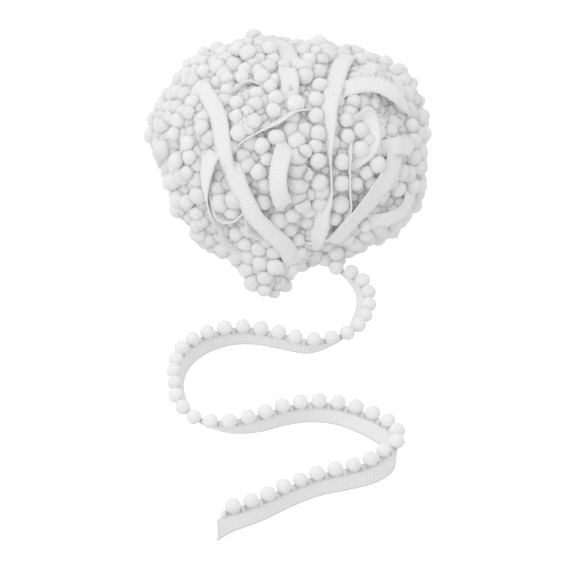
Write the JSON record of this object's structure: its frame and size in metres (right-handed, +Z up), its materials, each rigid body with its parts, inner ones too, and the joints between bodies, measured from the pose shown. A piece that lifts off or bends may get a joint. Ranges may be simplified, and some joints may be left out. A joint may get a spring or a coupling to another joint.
{
  "type": "pompom fringe trim",
  "caption": "White pompom fringe trim wound into a loose lumpy ball, its loose end standing on the tape's edge in a double S.",
  "frame": {"origin": "middle of the flat spot that the ball rests on", "axes": "+Z up from the surface it rests on; -Y from the ball towards the cut end of the loose strip; +Y is the longest extent"},
  "size_m": [0.1603, 0.3422, 0.1238],
  "materials": {
    "pile": "matt cut pile, white",
    "tape": "matt ribbed tape, white"
  },
  "bodies": {
    "root": {"wound_ball": "pile", "loose_tape": "tape", "pompom_row_01": "pile", "pompom_row_02": "pile", "pompom_row_03": "pile", "pompom_row_04": "pile", "pompom_row_05": "pile", "pompom_row_06": "pile", "pompom_row_07": "pile", "pompom_row_08": "pile", "pompom_row_09": "pile", "pompom_row_10": "pile"}
  },
  "joints": []
}
